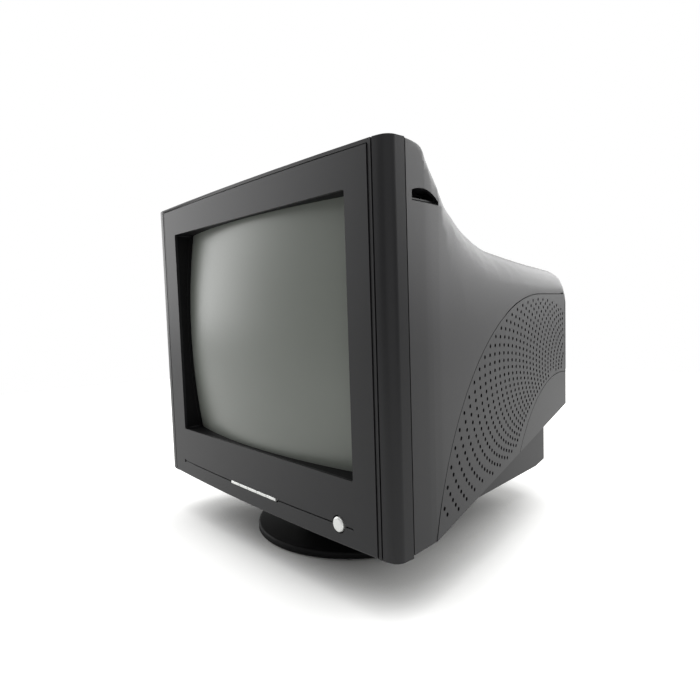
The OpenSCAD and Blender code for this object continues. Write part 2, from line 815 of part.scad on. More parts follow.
module tilt_ball() {
    color("#242526") difference() {
        union() {
            difference() {
                intersection() {
                    translate([0, 0, ball_c]) sphere(r = ball_r, $fn = 128);
                    translate([0, 0, ball_z - 1]) cylinder(h = box_z - ball_z + 1, r = ball_r);
                }
                translate([0, 0, ball_c]) sphere(r = ball_r - ball_t, $fn = 128);
            }
            translate([0, front_y, 0]) cab() intersection() {
                translate([0, -front_y, 0]) at_ball_screws()
                    translate([0, 0, box_z - 14]) cylinder(h = 14, r = 5);
                translate([0, 0, ball_c]) sphere(r = ball_r - 1, $fn = 128);
            }
        }
        translate([-key_r - gap, -slot_front + key_r, 0])
            cube([2 * (key_r + gap), slot_front + slot_back - 2 * key_r, box_z - 12]);
        for (y = [key_r - slot_front, slot_back - key_r])
            translate([0, y, 0]) cylinder(h = box_z - 12, r = key_r + gap);
        translate([0, -front_y, 0]) at_ball_screws()
            translate([0, 0, box_z - 10]) cylinder(h = 11, r = 1.9);
    }
}

module base_plate() {
    rim = base_d / 2;
    color("#1c1d1e") difference() {
        union() {
            rotate_extrude($fn = 128) difference() {
                union() {
                    polygon([
                        [web[1] + 30, web[0]], [seat_r[0] + 4, web[0]], [collar_r - 2, base_t - 3],
                        [rim - 6, base_t - 3.6], [rim - 4, foot_gap], [rim, foot_gap], [rim, base_t - 3],
                        [rim - 3, base_t], [collar_r + 3, base_t + 1.6], [collar_r, base_t + 4],
                        [collar_r, seat_z], [seat_r[0], seat_z], [seat_r[0], web[1]], [hub_r + hub_run, web[1]],
                        [hub_r + hub_run, web[0]]
                    ]);
                    translate([rim - 3, base_t - 3]) circle(r = 3);
                }
                translate([0, ball_c]) circle(r = ball_r + gap, $fn = 360);
                translate([-ball_r, 0]) square([ball_r, cab_h]);
            }
            for (i = [0:foot_n - 1]) rotate([0, 0, -90 + i * 360 / foot_n])
                translate([foot_ring, 0, foot_r / 3]) cylinder(h = base_t - 4, r = foot_r + 2);
            for (s = [-1, 1]) rotate([0, 0, -90 + s * stop_turn()])
                translate([stop_r - 3, -stop_w / 2, 1]) cube([8, stop_w, web[0] - 0.5]);
        }
        for (i = [0:foot_n - 1]) rotate([0, 0, -90 + i * 360 / foot_n])
            translate([foot_ring, 0, 0]) cylinder(h = 3, r = foot_r + 0.1);
    }
}

// Angle from the hub's lug to a fixed stop, so that they meet just past the swivel limit
function stop_turn() = swivel_a + 2 * asin(stop_w / 2 / (stop_r - 3)) + 1;

module base_feet() {
    color(black) for (i = [0:foot_n - 1]) rotate([0, 0, -90 + i * 360 / foot_n])
        translate([foot_ring, 0, 0]) cylinder(h = 3, r = foot_r);
}

module swivel_hub() {
    color("#3a3a3a") difference() {
        union() {
            translate([0, 0, 0.8]) cylinder(h = web[0] - gap - 0.8, r = hub_r + 6);
            translate([0, 0, 0.8]) cylinder(h = hub_top - 0.8, r = hub_r);
            translate([0, 0, 0.8]) cylinder(h = key_top - 0.8, r = key_r);
            translate([-stop_w / 2, -stop_r, 0.8]) cube([stop_w, stop_r, web[0] - gap - 0.8]);
        }
        translate([0, 0, hub_top - 6]) cylinder(h = key_top, r = 2);
    }
}

module tilt_retainer() {
    color("#55585a") difference() {
        translate([0, 0, key_top]) cylinder(h = retainer_t, r = retainer_r);
        difference() {
            translate([0, 0, key_top - 1]) cylinder(h = retainer_t + 3, r = retainer_r + 1);
            translate([0, 0, ball_c]) sphere(r = ball_r - ball_t - gap, $fn = 128);
        }
        translate([0, 0, key_top - 1]) cylinder(h = retainer_t + 2, r = 2.2);
    }
}

module retainer_screw() {
    top = key_top + retainer_t;
    color(steel) {
        translate([0, 0, top]) cylinder(h = 3, r = 4);
        translate([0, 0, hub_top - 5]) cylinder(h = top - hub_top + 5, r = 1.9);
    }
}

module cover_screws() {
    head_y = cover_post_y + wall;
    color(steel) cab() for (s = [-1, 1]) {
        rod(s * cover_post[0], cover_post[1], head_y, head_y + 3, head_r);
        rod(s * cover_post[0], cover_post[1], cover_post_y - 12, head_y, 1.8);
    }
    color(steel) cab() at_low_screws() {
        translate([0, 0, low_screw_z - 3]) cylinder(h = 3, r = head_r);
        translate([0, 0, low_screw_z]) cylinder(h = 14.6, r = 1.8);
    }
}

// Glass pan: curved face, straight skirt with rounded corners
module crt_faceplate() {
    color("#6f7a74", 0.8) cab() difference() {
        intersection() {
            translate([0, 0, tube_z]) front_slab(glass_apex - 1, skirt_y)
                rounded(glass_w, glass_h, glass_corner_r);
            glass_ball(glass_r, 0);
        }
        intersection() {
            translate([0, 0, tube_z]) front_slab(glass_apex, skirt_y + 1)
                rounded(glass_w - 2 * skirt_t, glass_h - 2 * skirt_t, glass_corner_r - skirt_t);
            glass_ball(glass_r, face_t);
        }
    }
}

// One ring of the funnel, as a squared ellipse that becomes a circle at the neck
funnel_n = 8;
ring_n = 32;
function squared(a, e) = sign(a) * pow(abs(a), 2 / e);
function funnel_ring(i, t) = let (
        s = i / funnel_n,
        y = skirt_y + s * (neck_y - skirt_y),
        e = squareness(s),
        a = funnel_half(glass_w - 4, s) - t,
        b = funnel_half(glass_h - 4, s) - t
    ) [for (k = [0:ring_n - 1]) let (f = 360 * (k + 0.5) / ring_n)
        [a * squared(cos(f), e), y, tube_z + b * squared(sin(f), e)]];
module crt_funnel() {
    m = ring_n;
    n = funnel_n + 1;
    points = concat(
        [for (i = [0:n - 1]) each funnel_ring(i, 0)],
        [for (i = [0:n - 1]) each funnel_ring(i, funnel_t * (1 - 0.4 * i / n))]
    );
    o = function (i, k) i * m + k % m;
    q = function (i, k) (n + i) * m + k % m;
    faces = concat(
        [for (i = [0:n - 2], k = [0:m - 1]) each [
            [o(i, k), o(i, k + 1), o(i + 1, k + 1)], [o(i, k), o(i + 1, k + 1), o(i + 1, k)],
            [q(i, k), q(i + 1, k + 1), q(i, k + 1)], [q(i, k), q(i + 1, k), q(i + 1, k + 1)]
        ]],
        [for (k = [0:m - 1]) each [
            [o(0, k), q(0, k + 1), o(0, k + 1)], [o(0, k), q(0, k), q(0, k + 1)],
            [o(n - 1, k), o(n - 1, k + 1), q(n - 1, k + 1)], [o(n - 1, k), q(n - 1, k + 1), q(n - 1, k)]
        ]]
    );
    color("#7b8580", 0.8) cab() polyhedron(points = points, faces = faces);
}

module crt_neck() {
    color("#8a948f", 0.8) cab() on_axis() difference() {
        translate([0, neck_y]) square([neck_r, tube_l - neck_y]);
        translate([-1, neck_y - 1]) square([neck_r - neck_t + 1, neck_end - neck_y + 1]);
    }
}

module crt_base() {
    pin_n = 10;
    color("#3a2f28") cab() {
        on_axis() translate([0, tube_l]) square([10, 6]);
        for (i = [0:pin_n - 1]) let (a = i * 360 / (pin_n + 2))
            rod(7.5 * cos(a), tube_z + 7.5 * sin(a), tube_l + 6, tube_l + 14, 0.6);
    }
}

// Gun: cathode can, grids and focus cylinders on a common axis, with a stem to the base end
module electron_gun() {
    cans = [9, 10.5, 10.5, 9.5, 11, 9.5];
    pitch = 15;
    start = neck_end - 8;
    color(steel) cab() {
        on_axis() polygon([[0, start - 6 * pitch], [4, start - 6 * pitch], [4, neck_end], [0, neck_end]]);
        for (i = [0:5]) on_axis() translate([0, start - pitch * (i + 1)]) square([cans[i], 12]);
        on_axis() translate([0, start - 6 * pitch - 4]) square([neck_r - neck_t - 0.1, 2]);
        on_axis() translate([0, start - 6 * pitch - 8]) square([3, 12]);
    }
}

// Thin dished sheet behind the glass, carried by a stiff frame
mask_w = open_w - 2;
mask_h = open_h - 3;
mask_back = 14;
module shadow_mask() {
    color("#4d4f52") cab() intersection() {
        translate([0, 0, tube_z]) front_slab(0, skirt_y) rounded(mask_w, mask_h, 10);
        difference() {
            glass_ball(glass_r, face_t + mask_back);
            glass_ball(glass_r, face_t + mask_back + 0.6);
        }
    }
}

module mask_frame() {
    pin_r = 2.5;
    reach = glass_w / 2 - skirt_t - mask_w / 2 + 3;
    color("#5a5d60") cab() {
        intersection() {
            translate([0, 0, tube_z]) front_slab(0, skirt_y - 4) difference() {
                rounded(mask_w, mask_h, 10);
                rounded(mask_w - 12, mask_h - 12, 6);
            }
            glass_ball(glass_r, face_t + mask_back + 0.8);
        }
        for (s = [-1, 1])
            translate([s * (mask_w / 2 - 3), skirt_y - 9, tube_z]) rotate([0, s * 90, 0])
                cylinder(h = reach, r = pin_r);
    }
}

module implosion_band() {
    y0 = ear_y;
    color(steel) cab() difference() {
        union() {
            translate([0, 0, tube_z]) front_slab(y0, y0 + 20)
                rounded(glass_w + 2 * band_t, glass_h + 2 * band_t, glass_corner_r + band_t);
            at_ears() rod(0, 0, y0, y0 + 2, 8);
            for (sx = [0, 1], sz = [0, 1]) mirror_z(sz) mirror([sx, 0, 0])
                translate([ear_x, y0, tube_z + ear_z]) rotate([0, -45, 0])
                    translate([-34, 0, -7]) cube([34, 2, 14]);
        }
        translate([0, 0, tube_z]) front_slab(y0 - 1, y0 + 21)
            rounded(glass_w + 0.2, glass_h + 0.2, glass_corner_r + 0.1);
        at_ears() rod(0, 0, y0 - 1, y0 + 3, 2.6);
    }
}

module tube_screws() {
    color(steel) cab() at_ears() {
        rod(0, 0, ear_y + 2, ear_y + 3.2, 6);
        rod(0, 0, ear_y + 3.2, ear_y + 7, 4);
        rod(0, 0, ear_y - 18, ear_y + 2, 1.8);
    }
}

// Wound loop round the glass skirt: straight runs and quarter turns
module degauss_coil() {
    bundle_r = 3.6;
    turn_r = glass_corner_r;
    w = glass_w + 2 * band_t + 2 * bundle_r + 2 * gap;
    h = glass_h + 2 * band_t + 2 * bundle_r + 2 * gap;
    y = ear_y + 15;
    color("#7a4a2a") cab() {
        for (s = [-1, 1]) {
            translate([-w / 2 + turn_r, y, tube_z + s * h / 2]) rotate([0, 90, 0])
                cylinder(h = w - 2 * turn_r, r = bundle_r);
            translate([s * w / 2, y, tube_z - h / 2 + turn_r]) cylinder(h = h - 2 * turn_r, r = bundle_r);
        }
        for (sx = [0, 1], sz = [0, 1]) mirror_z(sz) mirror([sx, 0, 0])
            translate([w / 2 - turn_r, y, tube_z + h / 2 - turn_r]) rotate([90, 0, 0])
                rotate_extrude(angle = 90) translate([turn_r, 0]) circle(r = bundle_r);
    }
}

// Mirrors a shape about the level plane of the tube axis
module mirror_z(on) {
    translate([0, 0, on * 2 * tube_z]) mirror([0, 0, on]) children();
}

// Flared separator that clamps the neck behind
module yoke_housing() {
    tail = 24;
    color("#d8d4c8") cab() on_axis() polygon([
        [yoke_r0, yoke_y0], [yoke_r0 + 16, yoke_y0], [yoke_r0 + 16, yoke_y0 + 3],
        [yoke_r0 + yoke_t, yoke_y0 + 3], [yoke_r1 + yoke_t, yoke_y1], [yoke_r1 + yoke_t, yoke_y1 + tail],
        [yoke_r1, yoke_y1 + tail], [yoke_r1, yoke_y1 - 2]
    ]);
}

function yoke_outer(y) = yoke_r0 + yoke_t + (yoke_r1 - yoke_r0) * (y - yoke_y0 - 3) / (yoke_y1 - yoke_y0 - 3);

module yoke_coils() {
    y0 = yoke_y0 + 3.2;
    y1 = yoke_y1 + 4;
    color("#8c4f2b") cab() on_axis() polygon([
        [yoke_outer(y0) + gap, y0], [yoke_outer(y0) + coil_t, y0], [yoke_outer(yoke_y1) + coil_t + 4, y1],
        [yoke_outer(yoke_y1) + gap, y1], [yoke_outer(yoke_y1) + gap, yoke_y1]
    ]);
}

module yoke_core() {
    y0 = yoke_y0 + 10;
    y1 = yoke_y1 - 6;
    color("#33302e") cab() on_axis() polygon([
        [coil_outer(y0) + gap, y0], [coil_outer(y0) + 9, y0],
        [coil_outer(y0) + 7, y1], [coil_outer(y1) + gap, y1]
    ]);
}

// Outer radius of the coils along the depth
function coil_outer(y) = let (
        y0 = yoke_y0 + 3.2,
        y1 = yoke_y1 + 4,
        r0 = yoke_outer(y0) + coil_t,
        r1 = yoke_outer(yoke_y1) + coil_t + 4
    ) r0 + (r1 - r0) * (y - y0) / (y1 - y0);

// Pairs of thin tabbed magnets on a sleeve
module convergence_rings() {
    y0 = yoke_y1 + 28;
    ring_n = 6;
    ring_pitch = 4.8;
    ring_t = 2.8;
    color("#26282b") cab() {
        on_axis() {
            translate([neck_r + 0.3, y0]) square([2.7, ring_n * ring_pitch + 2]);
            for (i = [0:ring_n - 1])
                translate([neck_r + 1, y0 + 2 + i * ring_pitch]) square([8, ring_t]);
        }
        for (i = [0:ring_n - 1])
            translate([0, y0 + 2.4 + i * ring_pitch, tube_z]) rotate([0, 40 * i, 0])
                translate([-3, 0, neck_r + 5]) cube([6, ring_t - 0.8, 11]);
    }
}

socket_y = tube_l + 6.3;
module tube_socket() {
    color("#e6e3da") cab() difference() {
        on_axis() translate([0, socket_y]) square([17, 10]);
        on_axis() translate([0, socket_y - 1]) square([1.5, 12]);
        for (i = [0:9]) let (a = i * 30)
            rod(7.5 * cos(a), tube_z + 7.5 * sin(a), socket_y - 1, socket_y + 9, 0.9);
    }
}

module neck_board() {
    y = socket_y + 10;
    color(circuit) cab() difference() {
        translate([-46, y, tube_z - 52]) cube([92, 1.6, 96]);
        rod(0, tube_z, y - 1, y + 3, 2);
    }
}

// Rubber cap over the anode button on the side of the funnel, square to its wall
anode_y = skirt_y + 62;
anode_s = (anode_y - skirt_y) / (neck_y - skirt_y);
anode_x = funnel_half(glass_w - 4, anode_s) + 0.3;
anode_lean = atan(1.2 * (glass_w / 2 - 2 - neck_r) * pow(anode_s, 0.2) / (neck_y - skirt_y));
anode_h = 10;
module anode_cap() {
    color("#7d2f22") cab() translate([anode_x, anode_y, tube_z]) rotate([0, 90, anode_lean])
        rotate_extrude() polygon([[0, 0.6], [12, 0.6], [18, 0], [17, 3], [8, 7], [6, anode_h], [0, anode_h]]);
}

// High-voltage lead, one smooth curve from the top of the flyback to the cap
lead_r = 2.4;
lead_n = 24;
lead_sides = 12;
lead_out = [cos(anode_lean), sin(anode_lean), 0];
lead_a = [anode_x, anode_y, tube_z] + anode_h * lead_out;
lead_b = lead_a + 26 * lead_out;
lead_d = [flyback_at[0], flyback_at[1], mb_top + flyback_h];
lead_c = lead_d + [0, 0, 70];
function lead_at(t) = pow(1 - t, 3) * lead_a + 3 * pow(1 - t, 2) * t * lead_b
    + 3 * (1 - t) * t * t * lead_c + pow(t, 3) * lead_d;
function lead_dir(t) = let (
        v = pow(1 - t, 2) * (lead_b - lead_a) + 2 * (1 - t) * t * (lead_c - lead_b) + t * t * (lead_d - lead_c)
    ) v / norm(v);
function lead_ring(t) = let (
        d = lead_dir(t),
        side = cross(d, [-lead_out[1], lead_out[0], 0]),
        u = side / norm(side),
        w = cross(d, u)
    ) [for (k = [0:lead_sides - 1]) let (f = 360 * k / lead_sides)
        lead_at(t) + lead_r * (cos(f) * u + sin(f) * w)];
module anode_lead() {
    m = lead_sides;
    points = [for (i = [0:lead_n]) each lead_ring(i / lead_n)];
    at = function (i, k) i * m + k % m;
    faces = concat(
        [for (i = [0:lead_n - 1], k = [0:m - 1]) each [
            [at(i, k), at(i + 1, k + 1), at(i, k + 1)], [at(i, k), at(i + 1, k), at(i + 1, k + 1)]
        ]],
        [[for (k = [0:m - 1]) k], [for (k = [m - 1:-1:0]) at(lead_n, 0) + k]]
    );
    color("#6d2a20") cab() polyhedron(points = points, faces = faces);
}

module main_board() {
    color(circuit) cab() difference() {
        translate([-mb_half, mb_y0, mb_z]) cube([2 * mb_half, mb_y1 - mb_y0, mb_t]);
        for (h = mb_holes) translate([h[0], h[1], mb_z - 1]) cylinder(h = mb_t + 2, r = 1.9);
    }
}

module board_screws() {
    color(steel) cab() for (h = mb_holes) {
        translate([h[0], h[1], mb_top]) cylinder(h = 2.2, r = 3.4);
        translate([h[0], h[1], mb_top - 10]) cylinder(h = 10, r = 1.2);
    }
}

module flyback_transformer() {
    color("#1f2022") cab() translate([flyback_at[0], flyback_at[1], mb_top]) {
        translate([-24, -22, 0]) cube([48, 44, 16]);
        translate([0, 0, 16]) cylinder(h = 58, r = 20);
        translate([0, 0, 74]) cylinder(h = flyback_h - 74, r = 7);
        translate([-34, -8, 4]) cube([12, 16, 50]);
    }
}

module power_transformer() {
    color("#4f4a44") cab() translate([46 - mb_half, mb_y0 + 72, mb_top]) {
        translate([-22, -20, 0]) cube([44, 40, 6]);
        translate([-20, -13, 6]) cube([40, 26, 32]);
        translate([-14, -18, 9]) cube([28, 36, 26]);
    }
}

module heatsinks() {
    color("#b4b7b9") cab() {
        for (at = [[-20, mb_y1 - 28, 90], [mb_half - 46, mb_y0 + 92, 70]]) translate([at[0], at[1], mb_top]) {
            translate([-at[2] / 2, 0, 0]) cube([at[2], 3, 52]);
            for (i = [0:5]) translate([-at[2] / 2 + 4 + i * (at[2] - 10) / 5, 3, 6]) cube([2, 12, 46]);
        }
    }
}

module main_capacitors() {
    cans = [
        [21 - mb_half, 134, 17.5, 46], [-40, 132, 11, 32], [-10, 132, 11, 32],
        [30, 152, 8, 26], [30, 52, 9, 24]
    ];
    color("#23324a") cab() for (c = cans)
        translate([c[0], mb_y0 + c[1], mb_top]) cylinder(h = c[3], r = c[2]);
}

// Mains inlet with its open socket facing the rear
inlet_depth = 17;
module power_inlet() {
    color(black) cab() translate([inlet_x, 0, plug_z]) difference() {
        union() {
            front_slab(box_d - 20, box_d) square(inlet, center = true);
            front_slab(box_d, box_d + 2) rounded(inlet[0] + 5, inlet[1] + 5, 3);
        }
        front_slab(box_d + 2 - inlet_depth, box_d + 3) polygon([
            [-12, -8.2], [12, -8.2], [12, 3.6], [7.4, 8.2], [-7.4, 8.2], [-12, 3.6]
        ]);
        for (p = inlet_blades) translate([p[0], 0, p[1]])
            front_slab(box_d - 21, box_d) square([2, 4], center = true);
    }
}

inlet_blades = [[-7, -2], [7, -2], [0, 2]];
module inlet_pins() {
    color("#c9b26a") cab() for (p = inlet_blades)
        translate([inlet_x + p[0], 0, plug_z + p[1]])
            front_slab(box_d - 26, box_d - 2) square([2, 4], center = true);
}

// Video socket: D-shaped shell, flange and two hexagonal jack posts
jack_pitch = 25;
module video_d(g) {
    polygon([
        [-8.4 - g, 4.2 + g], [8.4 + g, 4.2 + g], [7 + g, -4.2 - g], [-7 - g, -4.2 - g]
    ]);
}

module video_socket() {
    color(steel) cab() translate([video_x, 0, plug_z]) difference() {
        union() {
            front_slab(box_d, box_d + 1) rounded(31, 12.5, 2);
            front_slab(box_d - 18, box_d + 6) video_d(0);
            for (s = [-1, 1]) translate([s * jack_pitch / 2, box_d - 6, 0]) {
                rotate([-90, 0, 0]) cylinder(h = 8, r = 1.6);
                translate([0, 7, 0]) rotate([-90, 0, 0]) cylinder(h = 5, r = 2.7, $fn = 6);
            }
        }
        for (row = [-1, 0, 1], i = [-2:2])
            rod(i * 2.3 - abs(row) * 0.4 + 0.4, row * 2, box_d, box_d + 7, 0.5);
        for (s = [-1, 1]) rod(s * jack_pitch / 2, 0, box_d - 1, box_d + 8, 1.4);
    }
}

module control_board() {
    color(circuit) cab() translate([board_x0, board_y, control_z - 8])
        cube([board_x1 - board_x0, board_t, 20]);
}

// One switch behind each key and one behind the power button
function key_at(i) = key_x + i * key_pitch;
module tact_switches() {
    color("#2b2b2b") cab() {
        for (i = [0:key_count - 1])
            switch(key_at(i), control_z + line_rise(key_at(i)), key_travel);
        switch(power_x, control_z + power_drop(), power_travel);
    }
}

module switch(x, z, travel) {
    tip = stem_y + travel + gap;
    translate([x - 3, board_y - 2.4, z - 3]) cube([6, 2.4, 6]);
    rod(x, z, tip, board_y, 1.5);
}

module power_button() {
    z = control_z + power_drop();
    color(silver) cab() {
        on_button(power_x, z) polygon([
            [0, -power_proud], [power_d / 2 - 1.2, -power_proud + 0.3], [power_d / 2, -power_proud + 1.3],
            [power_d / 2, plate_y], [power_d / 2 + 2, plate_y], [power_d / 2 + 2, plate_y + plate_t],
            [2, plate_y + plate_t], [2, stem_y], [0, stem_y]
        ]);
    }
}

module on_button(x, z) {
    translate([x, 0, z]) rotate([-90, 0, 0]) rotate_extrude() children();
}

// One key of the bar: cap, backing plate behind the frame, stem
module control_button(i) {
    w = key_pitch - key_gap;
    x = key_at(i);
    z = control_z + line_rise(x);
    color(silver) cab() {
        translate([x - w / 2, -key_proud, z - key_h / 2]) cube([w, plate_y + key_proud, key_h]);
        translate([x - w / 2, plate_y, z - key_h / 2 - 2]) cube([w, plate_t, key_h + 4]);
        rod(x, z, plate_y, stem_y, 1.5);
    }
}

module control_button_1() {
    control_button(0);
}

module control_button_2() {
    control_button(1);
}

module control_button_3() {
    control_button(2);
}

module control_button_4() {
    control_button(3);
}

module control_button_5() {
    control_button(4);
}

base_plate();
base_feet();
swivel_hub();
tilt_retainer();
retainer_screw();
tilt_ball();
ball_screws();
bottom_cover();
rear_cover();
side_grille_left();
side_grille_right();
front_bezel();
face_panel();
screen_mask();
cover_screws();
crt_faceplate();
crt_funnel();
crt_neck();
crt_base();
electron_gun();
shadow_mask();
mask_frame();
implosion_band();
tube_screws();
degauss_coil();
yoke_housing();
yoke_coils();
yoke_core();
convergence_rings();
tube_socket();
neck_board();
anode_cap();
anode_lead();
main_board();
board_screws();
flyback_transformer();
power_transformer();
heatsinks();
main_capacitors();
power_inlet();
inlet_pins();
video_socket();
control_board();
tact_switches();
power_button();
control_button_1();
control_button_2();
control_button_3();
control_button_4();
control_button_5();
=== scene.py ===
import json
import math

import bmesh
import bpy
from mathutils import Matrix, Vector
from mathutils.bvhtree import BVHTree

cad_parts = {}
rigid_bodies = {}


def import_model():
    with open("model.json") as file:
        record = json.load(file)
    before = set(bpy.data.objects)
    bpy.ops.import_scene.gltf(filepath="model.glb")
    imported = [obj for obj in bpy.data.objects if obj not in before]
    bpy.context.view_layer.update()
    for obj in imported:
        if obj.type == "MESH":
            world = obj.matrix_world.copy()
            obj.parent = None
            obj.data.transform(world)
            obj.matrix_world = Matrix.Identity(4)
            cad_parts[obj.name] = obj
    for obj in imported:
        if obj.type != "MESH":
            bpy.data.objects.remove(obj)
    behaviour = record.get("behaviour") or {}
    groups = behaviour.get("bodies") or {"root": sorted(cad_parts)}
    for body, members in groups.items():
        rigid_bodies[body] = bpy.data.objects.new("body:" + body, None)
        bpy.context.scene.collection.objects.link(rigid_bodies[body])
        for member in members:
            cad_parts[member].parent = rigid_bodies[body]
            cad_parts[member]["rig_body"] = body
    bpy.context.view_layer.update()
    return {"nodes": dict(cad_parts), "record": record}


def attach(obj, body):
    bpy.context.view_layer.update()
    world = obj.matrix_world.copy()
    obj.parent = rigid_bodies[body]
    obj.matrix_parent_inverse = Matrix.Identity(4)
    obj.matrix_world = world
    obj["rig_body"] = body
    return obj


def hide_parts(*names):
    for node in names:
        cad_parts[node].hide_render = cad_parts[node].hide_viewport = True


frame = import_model()
print("frame loaded:", len(frame["nodes"]), "nodes")

mm = 0.001
slotOf = {row["node"]: row["material_slot"] for row in frame["record"]["subparts"]}

scene = bpy.context.scene
scene.view_settings.view_transform = "Standard"


# camera where the photographer stood
photoCamera = {
    "place": (0.5223, -0.4569, 0.2646),
    "yaw": 48.8,
    "pitch": -4.36,
    "roll": -1.82,
    "lens": 29.11,
    "sensor": 36,
    "nearest": 0.01,
}


def makeCamera(view):
    yaw, pitch, roll = (math.radians(view[key]) for key in ("yaw", "pitch", "roll"))
    ahead = Vector((-math.sin(yaw) * math.cos(pitch), math.cos(yaw) * math.cos(pitch), math.sin(pitch)))
    level = Vector((math.cos(yaw), math.sin(yaw), 0))
    above = level.cross(ahead)
    right = math.cos(roll) * level + math.sin(roll) * above
    top = math.cos(roll) * above - math.sin(roll) * level
    data = bpy.data.cameras.new("photoCamera")
    data.sensor_width = view["sensor"]
    data.lens = view["lens"]
    data.clip_start = view["nearest"]
    camera = bpy.data.objects.new("photoCamera", data)
    turn = Matrix((right, top, -ahead)).transposed().to_4x4()
    camera.matrix_world = Matrix.Translation(view["place"]) @ turn
    scene.collection.objects.link(camera)
    scene.camera = camera


makeCamera(photoCamera)


def linear(hexColour):
    values = [int(hexColour[i : i + 2], 16) / 255 for i in (1, 3, 5)]
    return [v / 12.92 if v <= 0.04045 else ((v + 0.055) / 1.055) ** 2.4 for v in values] + [1.0]


def addNode(tree, kind, inputs=None, **settings):
    node = tree.nodes.new(kind)
    for key, value in settings.items():
        setattr(node, key, value)
    for key, value in (inputs or {}).items():
        if isinstance(value, bpy.types.NodeSocket):
            tree.links.new(value, node.inputs[key])
        else:
            node.inputs[key].default_value = value
    return node


# studio: white all round, softboxes above, to the left and behind, and dark cards that only the gloss shows
studio = {
    "ambient": 0.36,
    "floorColour": "#f6f6f4",
    "floorSize": 1.7,
    "floorLift": 0.62,
    "floorRim": 96,
    "floorShade": 0.12,  # how far from the object the floor's own light fades
    "shadeWindow": (0.35, 0.85),  # share of open sky at which that light is gone, and at which it is full
    "shadeSamples": 8,
    "softboxes": {
        "overhead": {"place": (0.1, 0.3, 2.4), "aim": (0.0, 0.1, 0.2), "size": (2.6, 2.2), "glow": 0.85},
        "left": {"place": (-2.3, -0.7, 1.1), "aim": (0.0, 0.0, 0.2), "size": (1.6, 2.0), "glow": 2.9},
        "behind": {"place": (0.55, 2.6, 1.3), "aim": (0.1, 0.1, 0.3), "size": (3.0, 1.8), "glow": 3.9},
    },
    "cardColour": "#141414",
    "cards": {
        "cardBeforeScreen": {"place": (-0.388, -1.449, 0.45), "size": (1.1, 0.9), "lift": 0.1},
        "cardBesideCamera": {"place": (1.42, 0.48, 0.35), "size": (1.3, 0.7), "lift": 0.1},
    },
}


def seenDirectly(tree):
    # 1 where the camera looks straight, in a mirror or through glass
    path = addNode(tree, "ShaderNodeLightPath")
    seen = path.outputs["Is Camera Ray"]
    for kind in ("Is Glossy Ray", "Is Transmission Ray"):
        either = addNode(tree, "ShaderNodeMath", {0: seen, 1: path.outputs[kind]}, operation="MAXIMUM")
        seen = either.outputs[0]
    return seen


def paper(name, colour, lift, reach, settings):
    # flat paper with a share of light of its own, which fades where something stands within reach
    paint = bpy.data.materials.new(name)
    paint.use_nodes = True
    paint.cycles.emission_sampling = "NONE"  # found by the rays themselves, so that their kind is known
    tree = paint.node_tree
    tree.nodes.clear()
    diffuse = addNode(tree, "ShaderNodeBsdfDiffuse", {"Color": linear(colour)})
    gone, full = settings["shadeWindow"]
    samples = settings["shadeSamples"]
    nearby = addNode(tree, "ShaderNodeAmbientOcclusion", {"Distance": reach}, samples=samples)
    window = {"Value": nearby.outputs["AO"], "From Min": gone, "From Max": full, "To Max": lift}
    clear = addNode(tree, "ShaderNodeMapRange", window, interpolation_type="SMOOTHSTEP")
    factors = {0: seenDirectly(tree), 1: clear.outputs[0]}
    level = addNode(tree, "ShaderNodeMath", factors, operation="MULTIPLY")
    glow = addNode(tree, "ShaderNodeEmission", {"Strength": level.outputs[0]})
    both = addNode(tree, "ShaderNodeAddShader", {0: diffuse.outputs[0], 1: glow.outputs[0]})
    addNode(tree, "ShaderNodeOutputMaterial", {"Surface": both.outputs[0]})
    return paint


def stagePiece(name, shape, paint):
    mesh = bpy.data.meshes.new(name)
    shape.to_mesh(mesh)
    shape.free()
    mesh.materials.append(paint)
    piece = bpy.data.objects.new(name, mesh)
    scene.collection.objects.link(piece)
    return piece


def makeStudio(settings):
    world = bpy.data.worlds.new("whiteStudio")
    scene.world = world
    world.use_nodes = True
    world.cycles.sampling_method = "NONE"
    tree = world.node_tree
    tree.nodes.clear()
    level = addNode(tree, "ShaderNodeMapRange", {"Value": seenDirectly(tree), "To Min": settings["ambient"]})
    sky = addNode(tree, "ShaderNodeBackground", {"Color": linear("#ffffff"), "Strength": level.outputs[0]})
    addNode(tree, "ShaderNodeOutputWorld", {"Surface": sky.outputs[0]})
    for name, box in settings["softboxes"].items():
        width, height = box["size"]
        data = bpy.data.lights.new(name, "AREA")
        data.shape = "RECTANGLE"
        data.size = width
        data.size_y = height
        data.energy = math.pi * width * height * box["glow"]
        lamp = bpy.data.objects.new(name, data)
        lamp.visible_camera = False
        lamp.location = box["place"]
        lamp.rotation_euler = (Vector(box["aim"]) - Vector(box["place"])).to_track_quat("-Z", "Y").to_euler()
        scene.collection.objects.link(lamp)
    shape = bmesh.new()
    bmesh.ops.create_circle(shape, cap_ends=True, radius=settings["floorSize"], segments=settings["floorRim"])
    stagePiece("floor", shape, paper("whitePaper", settings["floorColour"], settings["floorLift"],
                                     settings["floorShade"], settings))
    for name, card in settings["cards"].items():
        shape = bmesh.new()
        place = Vector(card["place"])
        turn = Vector((-place.x, -place.y, 0)).to_track_quat("Z", "Y").to_matrix().to_4x4()
        spot = Matrix.Translation(place) @ turn @ Matrix.Diagonal((*card["size"], 1, 1))
        bmesh.ops.create_grid(shape, x_segments=1, y_segments=1, size=0.5, matrix=spot)
        board = stagePiece(name, shape, paper(name, settings["cardColour"], card["lift"], 0.0, settings))
        # seen in the gloss only, so that they shade neither the object nor the floor
        board.visible_camera = False
        board.visible_diffuse = False
        board.visible_shadow = False


makeStudio(studio)
print("camera and studio ready")


